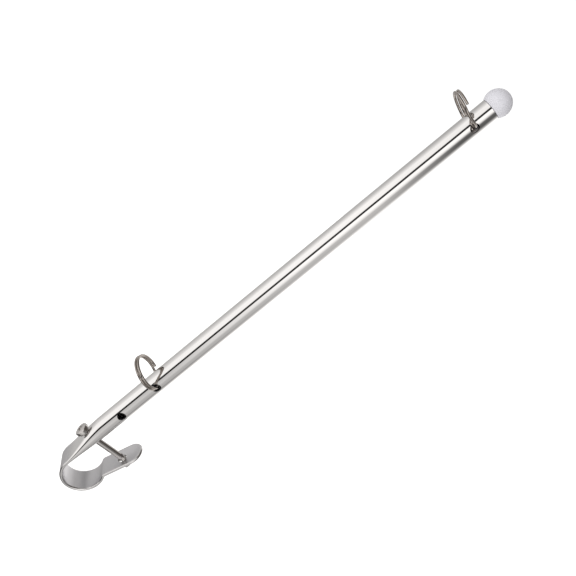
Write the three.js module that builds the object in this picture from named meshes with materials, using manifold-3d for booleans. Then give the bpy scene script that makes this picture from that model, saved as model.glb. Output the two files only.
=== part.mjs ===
// A rail-mount flag staff for a boat. A thin tube stands upright; its lower end is pressed flat and
// bent into an open loop that grips a guard rail, and ends in a round-ended tongue. A clamp screw
// crosses the tube and the tongue, with a thin nut behind. Two split rings hang in cross holes, and
// a plastic ball closes the top.
//
// Millimetres. The origin is the centre of the rail in the loop. +Z runs up the tube, +Y along the
// rail, and +X from the tube towards the tongue.

import * as THREE from 'three';
import { mergeVertices } from 'three/addons/utils/BufferGeometryUtils.js';
import Module from 'manifold-3d';

// Driving dimensions --------------------------------------------------------------------------

const LOOP_BORE_D = 24.9; // inside the unloaded loop, for rails up to one inch
const TUBE_D = 12.7;
const TUBE_WALL = 1.0;
const TUBE_TOP_Z = 342; // upper end of the tube, above the rail's centre
const PRESS_TOP_Z = 34; // the tube is round above this height
const PRESS_END_Z = 1; // and pressed quite flat below this one
const PRESS_GAP = 0.1; // between the two walls once pressed
const STRAP_WIDTH = 18; // the pressed tube, from fold to fold

const TONGUE_LEAN = 14.8; // degrees away from the tube's axis
const TONGUE_OFFSET = 8.75; // from the rail's centre to the tongue's middle surface
const TONGUE_BEND_R = 2.5; // the backward bend between loop and tongue, at the middle surface
const TONGUE_TIP = 40; // from the rail's centre to the tip, measured along the tongue
const DISH_DEPTH = 1.2; // the tongue is dished like a spoon, away from the tube
const DISH_START = 15; // where the dish begins, along the tongue
const DISH_DEEPEST = 25; // and where it reaches its full depth

const SPLIT_GAP = 0.3; // between pole and tongue at the bottom of the loop
const FACE_GAP = 0.3; // between two pieces that touch face to face
const SCREW_SIDE_GAP = 0.15; // round the screw's shank in the nut

const SCREW_Z = 22;
const SCREW_D = 4.2;
const SCREW_LENGTH = 41.4;
const SCREW_HOLE_D = SCREW_D + 0.6; // in the tube
const TONGUE_HOLE_D = SCREW_D + 2; // leaves room for the tongue to swing as it is drawn in
const TONGUE_HOLE_DROP = 0.5; // of the hole below the screw, as the swing lifts it
const HEAD_D = SCREW_D + 5;
const HEAD_HEIGHT = 2.6;
const HEAD_EDGE_R = 0.7;
const RECESS_SPAN = 4.4;
const RECESS_SLOT = 0.9;
const RECESS_DEPTH = 1.3;
const POINT_CHAMFER = 0.6;
const WASHER_D = SCREW_D + 3.4; // the spring washer under the head
const WASHER_THICK = 1.1;
const WASHER_SPLIT = 0.8; // width of its slanting cut

const NUT_FLATS = SCREW_D + 3.2;
const NUT_HEIGHT = 1.8;

const SPARE_HOLE_Z = 50.5;
const LOWER_RING_Z = 81.5;
const UPPER_RING_Z = 328.5;
const RING_OUTER_D = 24.2;
const RING_WIRE_D = 1.6;
const RING_PITCH = 1.85; // between the middles of the ring's two turns
const RING_OPEN_ANGLE = 50; // from the step between the turns to each end of the wire
const RING_STEP_ANGLE = 28; // half the arc over which the wire steps across
const RING_ROLL = 7.5; // degrees, the most that a ring is rolled in its holes
const RING_ROOM = 0.24; // spare width of a hole round the ring so rolled

const BALL_D = 16.4;
const BALL_RISE = 5; // from the tube's end to the ball's centre
const PLUG_LENGTH = 8;
const PLUG_GAP = 0.3;
const PLUG_CORE_D = 6;
const PLUG_LEAD = 0.8;

// Resolution of the round shapes
const SECTION_SIDES = 36; // a multiple of four, so that a vertex falls on each edge of the strap
const HOLE_SIDES = 24;
const WIRE_SIDES = 8;
const LOOP_STEP = 7.5; // degrees

// Derived sizes
const TUBE_R = TUBE_D / 2;
const STRAP_HALF = TUBE_WALL + PRESS_GAP / 2;
const LOOP_R = LOOP_BORE_D / 2 + STRAP_HALF; // middle surface of the loop
const TUBE_X = -LOOP_R; // the tube's axis runs straight down into the loop's middle surface
const LEAN = THREE.MathUtils.degToRad(TONGUE_LEAN);
const WALL_MIDDLE = TUBE_R - TUBE_WALL / 2;
const RING_R = (RING_OUTER_D - RING_WIRE_D) / 2; // middle of the wire

// A cross hole takes both turns of a ring. They slant through the wall, which makes them wider, and
// the ring's roll raises one side of it and lowers the other.
const RING_SLANT = Math.asin(WALL_MIDDLE / RING_R);
const RING_ACROSS = RING_WIRE_D / Math.cos(RING_SLANT) + TUBE_WALL * Math.tan(RING_SLANT);
const RING_TALL = RING_PITCH + RING_WIRE_D + 2 * WALL_MIDDLE * Math.sin(THREE.MathUtils.degToRad(RING_ROLL));
const RING_HOLE_D = Math.hypot(RING_ACROSS, RING_TALL) + RING_ROOM;

// Booleans ------------------------------------------------------------------------------------

const wasm = await Module();
wasm.setup();

// A closed three.js geometry as a manifold solid.
function solid(geometry) {
  const bare = geometry.clone();
  bare.deleteAttribute('normal');
  bare.deleteAttribute('uv');
  const merged = mergeVertices(bare);
  return new wasm.Manifold(new wasm.Mesh({
    numProp: 3,
    vertProperties: new Float32Array(merged.attributes.position.array),
    triVerts: new Uint32Array(merged.index.array),
  }));
}

// A manifold solid as a three.js geometry.
function geometryOf(manifold) {
  const mesh = manifold.getMesh();
  const geometry = new THREE.BufferGeometry();
  geometry.setAttribute('position', new THREE.BufferAttribute(new Float32Array(mesh.vertProperties), 3));
  geometry.setIndex(new THREE.BufferAttribute(new Uint32Array(mesh.triVerts), 1));
  geometry.computeVertexNormals();
  return geometry;
}

// A cylinder along X or Y, for drilling.
function drill(diameter, length, axis, centre) {
  const geometry = new THREE.CylinderGeometry(diameter / 2, diameter / 2, length, HOLE_SIDES);
  if (axis === 'x') {
    geometry.rotateZ(-Math.PI / 2);
  }
  geometry.translate(...centre);
  return solid(geometry);
}

// The pressed tube ----------------------------------------------------------------------------

// Half the thickness of the pressed tube at a height: the full radius above the press, the strap's
// half thickness below it, and between them a ramp half way from a straight wedge to a smooth step.
function halfThicknessAt(z) {
  const wedge = THREE.MathUtils.clamp((PRESS_TOP_Z - z) / (PRESS_TOP_Z - PRESS_END_Z), 0, 1);
  const eased = wedge * wedge * (3 - 2 * wedge);
  return TUBE_R + (STRAP_HALF - TUBE_R) * (wedge + eased) / 2;
}

// A point on the section of a pressed tube, at a distance round it that pressing leaves unchanged.
// The section is two flats joined by half circles, and its perimeter stays that of the round tube.
// Returns [across, out]: across the strap's width and out of its face.
function pressedPoint(radius, half, angle) {
  const flat = Math.PI * (radius - half);
  const quarter = Math.abs(angle) > Math.PI / 2 ? Math.PI - Math.abs(angle) : Math.abs(angle);
  const along = radius * quarter;
  const side = Math.sign(angle);
  const face = Math.abs(angle) > Math.PI / 2 ? -1 : 1;
  if (along <= flat / 2) {
    return [side * along, face * half];
  }
  const bend = (along - flat / 2) / half;
  return [side * (flat / 2 + half * Math.sin(bend)), face * half * Math.cos(bend)];
}

// Pressing also draws the metal in a little. The share of the section's width that is left goes
// from the whole of it on the round tube to the strap's own width.
const FLAT_HALF_WIDTH = STRAP_HALF + Math.PI * (TUBE_R - STRAP_HALF) / 2;
const STRAP_SHARE = STRAP_WIDTH / 2 / FLAT_HALF_WIDTH;

function widthShare(half) {
  const pressed = (TUBE_R - half) / (TUBE_R - STRAP_HALF);
  return 1 + (STRAP_SHARE - 1) * pressed;
}

// A tube of changing section swept through stations. Each station gives its centre (x, z), the
// angle in the XZ plane of the direction that faces out of the loop, the section's radius before
// pressing, its half thickness, how much of its width is left, and how deep it is dished outwards.
function sweep(stations) {
  const rows = stations.length - 1;
  const geometry = new THREE.CylinderGeometry(1, 1, 1, SECTION_SIDES, rows);
  const position = geometry.attributes.position;
  for (let i = 0; i < position.count; i += 1) {
    const station = stations[Math.round((0.5 - position.getY(i)) * rows)];
    const rim = Math.hypot(position.getX(i), position.getZ(i));
    const angle = Math.atan2(position.getX(i), position.getZ(i));
    const [across, out] = pressedPoint(station.radius, station.half, angle);
    const share = rim * across / FLAT_HALF_WIDTH;
    const bulge = rim * out + station.dish * (1 - share * share) ** 2;
    position.setXYZ(
      i,
      station.x + bulge * Math.cos(station.facing),
      -rim * across * station.width,
      station.z + bulge * Math.sin(station.facing),
    );
  }
  return solid(geometry);
}

// Stations along an arc of the loop, between two angles in degrees, in the middle surface.
function loopStations(from, to) {
  const count = Math.max(1, Math.round(Math.abs(to - from) / LOOP_STEP));
  return Array.from({ length: count + 1 }, (_, i) => {
    const facing = THREE.MathUtils.degToRad(from + (to - from) * i / count);
    return {
      x: LOOP_R * Math.cos(facing),
      z: LOOP_R * Math.sin(facing),
      facing,
      radius: TUBE_R,
      half: STRAP_HALF,
      width: STRAP_SHARE,
      dish: 0,
    };
  });
}

// Stations down the straight tube, from above its upper end to the height of the rail's centre.
function tubeStations(top, inset) {
  const pressSteps = 14;
  const heights = [top];
  for (let i = 0; i <= pressSteps; i += 1) {
    heights.push(PRESS_TOP_Z - (PRESS_TOP_Z - PRESS_END_Z) * i / pressSteps);
  }
  return heights.map((z) => ({
    x: TUBE_X,
    z,
    facing: Math.PI,
    radius: TUBE_R - inset,
    half: halfThicknessAt(z) - inset,
    width: widthShare(halfThicknessAt(z)),
    dish: 0,
  }));
}

const SPLIT_ANGLE = THREE.MathUtils.radToDeg(SPLIT_GAP / 2 / LOOP_R); // half the gap, as an angle
const BOTTOM = 270; // the loop's lowest point, as an angle in degrees

function makePole() {
  const outer = sweep([...tubeStations(TUBE_TOP_Z, 0), ...loopStations(180, BOTTOM - SPLIT_ANGLE)]);
  const thinnestBore = 0.3;
  const boreTop = TUBE_TOP_Z + 1;
  const bore = sweep(tubeStations(boreTop, TUBE_WALL).filter((station) => station.half > thinnestBore));
  let pole = outer.subtract(bore);
  for (const z of [SPARE_HOLE_Z, LOWER_RING_Z, UPPER_RING_Z]) {
    pole = pole.subtract(drill(RING_HOLE_D, 2 * TUBE_D, 'y', [TUBE_X, 0, z]));
  }
  return geometryOf(pole.subtract(drill(SCREW_HOLE_D, 2 * TUBE_D, 'x', [TUBE_X, 0, SCREW_Z])));
}

// The tongue ----------------------------------------------------------------------------------

// The backward bend's centre lies outside the loop, its own radius beyond both middle surfaces.
const BEND_ANGLE = Math.acos((TONGUE_OFFSET + TONGUE_BEND_R) / (LOOP_R + TONGUE_BEND_R)) - LEAN;
const BEND_X = (LOOP_R + TONGUE_BEND_R) * Math.cos(BEND_ANGLE);
const BEND_Z = (LOOP_R + TONGUE_BEND_R) * Math.sin(BEND_ANGLE);

// The middle surface of the tongue, at a distance along it from the rail's centre.
function tonguePoint(along) {
  return [
    TONGUE_OFFSET * Math.cos(LEAN) + along * Math.sin(LEAN),
    -TONGUE_OFFSET * Math.sin(LEAN) + along * Math.cos(LEAN),
  ];
}

function bendStations() {
  const steps = 5;
  return Array.from({ length: steps }, (_, i) => {
    const facing = BEND_ANGLE + (-LEAN - BEND_ANGLE) * (i + 1) / steps;
    return {
      x: BEND_X - TONGUE_BEND_R * Math.cos(facing),
      z: BEND_Z - TONGUE_BEND_R * Math.sin(facing),
      facing,
      radius: TUBE_R,
      half: STRAP_HALF,
      width: STRAP_SHARE,
      dish: 0,
    };
  });
}

// How deep the tongue is dished on its centre line: a smooth rise, then a level stretch.
function dishAt(along) {
  return DISH_DEPTH * THREE.MathUtils.smoothstep(along, DISH_START, DISH_DEEPEST);
}

function tongueStation(along, share) {
  const [x, z] = tonguePoint(along);
  return {
    x,
    z,
    facing: -LEAN,
    radius: TUBE_R,
    half: STRAP_HALF,
    width: STRAP_SHARE * share,
    dish: dishAt(along) * share * share,
  };
}

const TIP_START = TONGUE_TIP - STRAP_WIDTH / 2;

// The straight stretch up to the round end.
function straightStations() {
  const steps = 5;
  return Array.from({ length: steps }, (_, i) => (
    tongueStation(DISH_START + (TIP_START - DISH_START) * i / steps, 1)
  ));
}

// The round end: the width follows a half circle, stopped just short of its last point.
function tipStations() {
  const steps = 8;
  const lastTurn = THREE.MathUtils.degToRad(86);
  return Array.from({ length: steps + 1 }, (_, i) => {
    const turn = lastTurn * i / steps;
    return tongueStation(TIP_START + STRAP_WIDTH / 2 * Math.sin(turn), Math.cos(turn));
  });
}

function makeTongue() {
  const strap = sweep([
    ...loopStations(BOTTOM + SPLIT_ANGLE, 360 + THREE.MathUtils.radToDeg(BEND_ANGLE)),
    ...bendStations(),
    ...straightStations(),
    ...tipStations(),
  ]);
  const holeZ = SCREW_Z - TONGUE_HOLE_DROP;
  const [holeX] = tonguePoint(holeZ);
  return geometryOf(strap.subtract(drill(TONGUE_HOLE_D, 2 * TUBE_D, 'x', [holeX, 0, holeZ])));
}

// Fasteners -----------------------------------------------------------------------------------

// The spring washer rests on the pressed tube where its upper edge meets the thicker part, and the
// head rests on the washer.
const WASHER_X = TUBE_X - halfThicknessAt(SCREW_Z + WASHER_D / 2) - FACE_GAP;
const HEAD_UNDERSIDE_X = WASHER_X - WASHER_THICK - FACE_GAP;

function makeScrew() {
  const shankR = SCREW_D / 2;
  const headR = HEAD_D / 2;
  const profile = [new THREE.Vector2(0, -HEAD_HEIGHT)];
  const edgeSteps = 3;
  for (let i = 0; i <= edgeSteps; i += 1) {
    const turn = Math.PI / 2 * i / edgeSteps;
    profile.push(new THREE.Vector2(
      headR - HEAD_EDGE_R * (1 - Math.sin(turn)),
      -HEAD_HEIGHT + HEAD_EDGE_R * (1 - Math.cos(turn)),
    ));
  }
  profile.push(
    new THREE.Vector2(headR, 0),
    new THREE.Vector2(shankR, 0),
    new THREE.Vector2(shankR, SCREW_LENGTH - POINT_CHAMFER),
    new THREE.Vector2(shankR - POINT_CHAMFER, SCREW_LENGTH),
    new THREE.Vector2(0, SCREW_LENGTH),
  );
  let screw = solid(new THREE.LatheGeometry(profile, HOLE_SIDES));
  for (const quarter of [0, 1]) {
    const slot = new THREE.BoxGeometry(RECESS_SPAN, 2 * RECESS_DEPTH, RECESS_SLOT);
    slot.rotateY(quarter * Math.PI / 2);
    slot.translate(0, -HEAD_HEIGHT, 0);
    screw = screw.subtract(solid(slot));
  }
  const geometry = geometryOf(screw);
  geometry.rotateZ(-Math.PI / 2);
  return geometry;
}

// A flat ring, cut through on a slant on the side that faces down.
function makeWasher() {
  const innerR = SCREW_HOLE_D / 2;
  const outerR = WASHER_D / 2;
  const profile = [
    new THREE.Vector2(innerR, 0),
    new THREE.Vector2(outerR, 0),
    new THREE.Vector2(outerR, WASHER_THICK),
    new THREE.Vector2(innerR, WASHER_THICK),
    new THREE.Vector2(innerR, 0),
  ];
  const slant = THREE.MathUtils.degToRad(35);
  const cut = new THREE.BoxGeometry(WASHER_SPLIT, 4 * WASHER_THICK, WASHER_D);
  cut.rotateZ(slant);
  cut.translate(0, WASHER_THICK / 2, WASHER_D / 2);
  const geometry = geometryOf(solid(new THREE.LatheGeometry(profile, HOLE_SIDES)).subtract(solid(cut)));
  geometry.rotateX(Math.PI);
  geometry.rotateZ(-Math.PI / 2);
  return geometry;
}

const NUT_CORNER_R = NUT_FLATS / 2 / Math.cos(Math.PI / 6);

function makeNut() {
  const hexagon = new THREE.Shape();
  for (let i = 0; i < 6; i += 1) {
    const angle = Math.PI / 3 * i + Math.PI / 6;
    const corner = [NUT_CORNER_R * Math.sin(angle), NUT_CORNER_R * Math.cos(angle)];
    if (i === 0) {
      hexagon.moveTo(...corner);
    } else {
      hexagon.lineTo(...corner);
    }
  }
  hexagon.closePath();
  const bore = new THREE.Path();
  bore.absarc(0, 0, SCREW_D / 2 + SCREW_SIDE_GAP, 0, 2 * Math.PI);
  hexagon.holes.push(bore);
  const geometry = new THREE.ExtrudeGeometry(hexagon, {
    depth: NUT_HEIGHT,
    bevelEnabled: false,
    curveSegments: HOLE_SIDES,
  });
  geometry.rotateY(Math.PI / 2);
  return geometry;
}

// Split rings ---------------------------------------------------------------------------------

// Two turns of wire side by side, with one step across from the first turn to the second. The
// wire's ends stop on either side of the step. The hand is 1 or -1, as the wire was wound.
class SplitRingCurve extends THREE.Curve {
  constructor(stepAt, hand) {
    super();
    this.stepAt = stepAt;
    this.hand = hand;
  }

  getPoint(t, target = new THREE.Vector3()) {
    const open = THREE.MathUtils.degToRad(RING_OPEN_ANGLE);
    const half = THREE.MathUtils.degToRad(RING_STEP_ANGLE);
    const turned = open + t * (4 * Math.PI - 2 * open);
    const step = THREE.MathUtils.smoothstep(turned, 2 * Math.PI - half, 2 * Math.PI + half);
    const angle = this.stepAt + turned;
    return target.set(
      RING_R * Math.cos(angle),
      RING_R * Math.sin(angle),
      this.hand * RING_PITCH * (step - 0.5),
    );
  }
}

// A ring as it sits in its cross hole: its middle lies off the tube so that both holes are on it.
function makeRing(stepAt, hand) {
  const wire = new THREE.Shape();
  for (let i = 0; i < WIRE_SIDES; i += 1) {
    const angle = 2 * Math.PI * i / WIRE_SIDES;
    const point = [RING_WIRE_D / 2 * Math.cos(angle), RING_WIRE_D / 2 * Math.sin(angle)];
    if (i === 0) {
      wire.moveTo(...point);
    } else {
      wire.lineTo(...point);
    }
  }
  const geometry = new THREE.ExtrudeGeometry(wire, {
    steps: 64,
    bevelEnabled: false,
    extrudePath: new SplitRingCurve(THREE.MathUtils.degToRad(stepAt), hand),
  });
  geometry.translate(-Math.sqrt(RING_R * RING_R - WALL_MIDDLE * WALL_MIDDLE), 0, 0);
  return geometry;
}

// Ball cap ------------------------------------------------------------------------------------

// A ball cut flat where it sits on the tube's end, with a hollow plug that enters the bore.
function makeBallCap() {
  const ballR = BALL_D / 2;
  const plugR = TUBE_R - TUBE_WALL - PLUG_GAP;
  const coreR = PLUG_CORE_D / 2;
  const seatDrop = BALL_RISE - FACE_GAP; // from the ball's centre down to its flat
  const profile = [new THREE.Vector2(0, 0)];
  profile.push(
    new THREE.Vector2(coreR, 0),
    new THREE.Vector2(coreR, -PLUG_LENGTH - FACE_GAP),
    new THREE.Vector2(plugR - PLUG_LEAD / 2, -PLUG_LENGTH - FACE_GAP),
    new THREE.Vector2(plugR, -PLUG_LENGTH - FACE_GAP + PLUG_LEAD),
    new THREE.Vector2(plugR, 0),
  );
  const ballSteps = 14;
  const startTurn = -Math.asin(seatDrop / ballR);
  for (let i = 0; i < ballSteps; i += 1) {
    const turn = startTurn + (Math.PI / 2 - startTurn) * i / ballSteps;
    profile.push(new THREE.Vector2(ballR * Math.cos(turn), seatDrop + ballR * Math.sin(turn)));
  }
  profile.push(new THREE.Vector2(0, seatDrop + ballR));
  return new THREE.LatheGeometry(profile, SECTION_SIDES);
}

// Assembly ------------------------------------------------------------------------------------

const POLISHED = { color: 0xc9c8c6, roughness: 0.12, metalness: 1 };
const SATIN = { color: 0xb4b3b6, roughness: 0.32, metalness: 1 };
const SPRING_WIRE = { color: 0xa9a4a0, roughness: 0.18, metalness: 1 };
const FROSTED = { color: 0xdcdbe2, roughness: 0.45, metalness: 0 };

function piece(name, geometry, finish) {
  const mesh = new THREE.Mesh(geometry, new THREE.MeshStandardMaterial(finish));
  mesh.name = name;
  return mesh;
}

// Each ring is turned in its hole: swung up from level, leaned along the rail and rolled. It also
// lies off the hole's centre, drawn away from the clamp and lifted, as far as the hole lets it.
function seatRing(mesh, z, [swing, lean, roll], [drawn, lifted]) {
  const seat = new THREE.Group();
  seat.position.set(TUBE_X - drawn, 0, z + lifted);
  seat.rotation.set(
    THREE.MathUtils.degToRad(roll),
    THREE.MathUtils.degToRad(swing),
    THREE.MathUtils.degToRad(-lean),
    'YZX',
  );
  seat.add(mesh);
  return seat;
}

const staff = new THREE.Group();
staff.add(piece('pole_tube', makePole(), POLISHED));
staff.add(piece('clamp_tongue', makeTongue(), SATIN));

// The nut is square to the screw, so its upper corner meets the leaning tongue's back first.
const NUT_TOP_ALONG = (SCREW_Z + NUT_CORNER_R + TONGUE_OFFSET * Math.sin(LEAN)) / Math.cos(LEAN);
const NUT_X = tonguePoint(NUT_TOP_ALONG)[0] + (STRAP_HALF + DISH_DEPTH) / Math.cos(LEAN) + FACE_GAP;

const screw = piece('clamp_screw', makeScrew(), POLISHED);
screw.position.set(HEAD_UNDERSIDE_X, 0, SCREW_Z);
staff.add(screw);

const washer = piece('spring_washer', makeWasher(), POLISHED);
washer.position.set(WASHER_X, 0, SCREW_Z);
staff.add(washer);

const nut = piece('clamp_nut', makeNut(), POLISHED);
nut.position.set(NUT_X, 0, SCREW_Z);
staff.add(nut);

const lowerRing = piece('lower_split_ring', makeRing(13, -1), SPRING_WIRE);
staff.add(seatRing(lowerRing, LOWER_RING_Z, [9, -1, 7.5], [0, 0.3]));

const upperRing = piece('upper_split_ring', makeRing(285, 1), SPRING_WIRE);
staff.add(seatRing(upperRing, UPPER_RING_Z, [12, -1, 3.5], [0.4, 0.05]));

const ballCap = piece('ball_cap', makeBallCap(), FROSTED);
ballCap.rotation.x = Math.PI / 2;
ballCap.position.set(TUBE_X, 0, TUBE_TOP_Z + FACE_GAP);
staff.add(ballCap);

export default staff;
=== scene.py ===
"""A rail-mount boat flag staff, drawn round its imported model.

Sizes are in millimetres in the row frame: the origin is the centre of the rail in the clamp's loop,
+Z runs up the tube, +Y along the rail and +X from the tube towards the tongue. A mesh is turned
into metres when it is made.
"""

import math

import bmesh
import bpy
import numpy as np
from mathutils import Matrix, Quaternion, Vector


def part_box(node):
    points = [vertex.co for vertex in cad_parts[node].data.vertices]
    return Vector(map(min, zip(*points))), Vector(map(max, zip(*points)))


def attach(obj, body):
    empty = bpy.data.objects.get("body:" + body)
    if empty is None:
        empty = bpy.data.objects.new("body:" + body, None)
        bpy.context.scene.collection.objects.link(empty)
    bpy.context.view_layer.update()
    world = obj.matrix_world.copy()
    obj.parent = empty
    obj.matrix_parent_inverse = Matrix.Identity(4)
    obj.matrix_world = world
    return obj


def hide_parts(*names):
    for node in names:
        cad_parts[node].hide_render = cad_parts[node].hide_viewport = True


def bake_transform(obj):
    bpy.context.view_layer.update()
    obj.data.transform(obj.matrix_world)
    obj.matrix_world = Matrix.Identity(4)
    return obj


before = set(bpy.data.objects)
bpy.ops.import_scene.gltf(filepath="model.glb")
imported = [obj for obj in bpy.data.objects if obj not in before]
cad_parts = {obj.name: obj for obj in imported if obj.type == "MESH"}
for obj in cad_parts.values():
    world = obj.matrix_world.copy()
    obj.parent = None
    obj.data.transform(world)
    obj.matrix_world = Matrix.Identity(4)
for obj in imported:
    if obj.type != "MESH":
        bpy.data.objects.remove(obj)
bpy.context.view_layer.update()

MM = 0.001


def box_of(node):
    """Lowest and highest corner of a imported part, in millimetres."""
    low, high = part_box(node)
    return np.array(low) / MM, np.array(high) / MM


# Sizes ---------------------------------------------------------------------------------------

tube_low, tube_high = box_of("pole_tube")
screw_low, screw_high = box_of("clamp_screw")
washer_low, washer_high = box_of("spring_washer")
nut_low, nut_high = box_of("clamp_nut")
ball_low, ball_high = box_of("ball_cap")

TUBE_R = 6.35
TUBE_WALL = 1.0
TUBE_TOP = tube_high[2]
STRAP_HALF = 1.05  # half the thickness of the pressed tube
STRAP_HALF_WIDTH = 9.0
LOOP_R = -tube_low[2] - STRAP_HALF  # middle surface of the loop
TUBE_X = -LOOP_R
PRESS_TOP_Z = 34.0
PRESS_END_Z = 1.0
BORE_END_Z = 3.0  # where the two walls of the pressed tube have come together

RING_HOLE_R = 2.9
SPARE_HOLE_Z = 50.5
LOWER_RING_Z = 81.5
UPPER_RING_Z = 328.5
SCREW_HOLE_R = 2.4
SCREW_Z = (screw_low[2] + screw_high[2]) / 2

LEAN = math.radians(14.8)  # the tongue leans away from the tube's axis
TONGUE_OFFSET = 8.75
TONGUE_BEND_R = 2.5
TONGUE_TIP = 40.0
TONGUE_HOLE_R = 3.1
TONGUE_HOLE_DROP = 0.5
DISH_DEPTH = 1.2
DISH_START = 15.0
DISH_DEEPEST = 25.0

HEAD_R = (screw_high[2] - screw_low[2]) / 2
HEAD_HEIGHT = 2.6
SHANK_R = 2.1
THREAD_LENGTH = 8.5
THREAD_PITCH = 0.794
THREAD_DEPTH = 0.36

RING_R = 11.3  # middle of the wire
RING_WIRE_R = 0.8
RING_PITCH = 1.85
RING_OPEN = math.radians(50)
RING_STEP = math.radians(28)

BALL_R = (ball_high[0] - ball_low[0]) / 2
BALL_Z = ball_high[2] - BALL_R
PLUG_R = 5.05
PLUG_CORE_R = 3.0

# Fineness of the pressed tube's grid
COLUMNS = 120
COLUMN_STEP = 2 * math.pi / COLUMNS
REACH = 2.0  # a hole disturbs the grid out to this many times its own block
CROSS_COLUMNS = 8  # half the width of a cross hole's block, in columns
SCREW_COLUMNS = 6
TONGUE_COLUMNS = 8

# Camera and studio ---------------------------------------------------------------------------

CAMERA_PLACE = Vector((-0.21697, -0.38912, 0.28142))
CAMERA_FORWARD = Vector((0.46494, 0.85992, -0.21066))
CAMERA_ROLL = math.radians(50.88)


def make_camera():
    """A 46 mm lens on the near side of the clamp, rolled so that the staff rises to the right."""
    camera = bpy.data.cameras.new("camera")
    camera.lens = 46.26
    camera.sensor_width = 36.0
    camera.clip_start = 0.01
    camera.clip_end = 50.0
    camera.shift_x = -0.0002
    camera.shift_y = -0.0005
    holder = bpy.data.objects.new("camera", camera)
    bpy.context.scene.collection.objects.link(holder)
    roll = Quaternion((0, 0, 1), CAMERA_ROLL)
    holder.rotation_mode = "QUATERNION"
    holder.rotation_quaternion = CAMERA_FORWARD.to_track_quat("-Z", "Y") @ roll
    holder.location = CAMERA_PLACE
    bpy.context.scene.camera = holder


make_camera()
bpy.context.scene.view_settings.view_transform = "Standard"

# Mesh helpers --------------------------------------------------------------------------------


def smooth(share):
    """A smooth step from 0 to 1: three squares less two cubes of the share."""
    share = np.clip(share, 0, 1)
    return share * share * (3 - 2 * share)


def grid_faces(rows, columns, closed=True):
    """Quads of a grid of rows by columns, as (rows - 1, columns, 4) vertex numbers."""
    last = columns if closed else columns - 1
    row, column = np.meshgrid(np.arange(rows - 1), np.arange(last), indexing="ij")
    following = (column + 1) % columns
    here = row * columns
    below = here + columns
    return np.stack([here + column, here + following, below + following, below + column], -1)


def strip_faces(first, second):
    """Quads between two closed loops of vertex numbers of the same length."""
    return np.stack([first, np.roll(first, -1), np.roll(second, -1), second], -1)


def mark_edges(mesh, gentle, sharp):
    """Gives each point an edge value from the largest angle between two faces that share an edge
    there: 0 under the gentle angle, 1 over the sharp one, and a smooth step between the two."""
    normals = np.empty(len(mesh.polygons) * 3, np.float32)
    mesh.polygons.foreach_get("normal", normals)
    normals = normals.reshape(-1, 3)
    corners = np.empty(len(mesh.polygons), np.int32)
    mesh.polygons.foreach_get("loop_total", corners)
    edge = np.empty(len(mesh.loops), np.int32)
    mesh.loops.foreach_get("edge_index", edge)
    ends = np.empty(len(mesh.edges) * 2, np.int32)
    mesh.edges.foreach_get("vertices", ends)
    order = np.argsort(edge, kind="stable")
    edge = edge[order]
    face = np.repeat(np.arange(len(corners)), corners)[order]
    shared = edge[1:] == edge[:-1]
    cosine = (normals[face[1:][shared]] * normals[face[:-1][shared]]).sum(1)
    angle = np.degrees(np.arccos(np.clip(cosine, -1, 1)))
    largest = np.zeros(len(mesh.vertices))
    np.maximum.at(largest, ends.reshape(-1, 2)[edge[1:][shared]].ravel(), np.repeat(angle, 2))
    value = smooth((largest - gentle) / (sharp - gentle))
    attribute = mesh.attributes.new("edge", "FLOAT", "POINT")
    attribute.data.foreach_set("value", value.astype(np.float32))


def make_piece(name, points, faces, material, crisp=35, values=None, wear=(14, 40)):
    """A mesh of points in millimetres: coincident points are welded, so that seams and poles close,
    the faces are turned outwards, and edges over the crisp angle in degrees stay sharp. Edges wear
    from the first angle in wear, and most over the second."""
    mesh = bpy.data.meshes.new(name)
    flat_points = np.asarray(points, float).reshape(-1, 3) * MM
    mesh.from_pydata(flat_points.tolist(), [], np.asarray(faces).reshape(-1, np.shape(faces)[-1]).tolist())
    for title, value in (values or {}).items():
        attribute = mesh.attributes.new(title, "FLOAT", "POINT")
        attribute.data.foreach_set("value", np.asarray(value, np.float32).ravel())
    shell = bmesh.new()
    shell.from_mesh(mesh)
    bmesh.ops.remove_doubles(shell, verts=shell.verts, dist=1e-7)
    bmesh.ops.delete(shell, geom=[v for v in shell.verts if not v.link_faces], context="VERTS")
    bmesh.ops.recalc_face_normals(shell, faces=shell.faces)
    shell.to_mesh(mesh)
    shell.free()
    mark_edges(mesh, *wear)
    mesh.polygons.foreach_set("use_smooth", np.ones(len(mesh.polygons), bool))
    mesh.set_sharp_from_angle(angle=math.radians(crisp))
    mesh.materials.append(material)
    piece = bpy.data.objects.new(name, mesh)
    bpy.context.scene.collection.objects.link(piece)
    return piece


def soften(piece, width, segments=2):
    """Rounds a piece's sharp edges to a radius of about width millimetres."""
    bevel = piece.modifiers.new("worn edges", "BEVEL")
    bevel.width = width * MM
    bevel.segments = segments
    bevel.limit_method = "ANGLE"
    bevel.angle_limit = math.radians(40)
    bevel.harden_normals = True


# Finishes ------------------------------------------------------------------------------------


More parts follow.
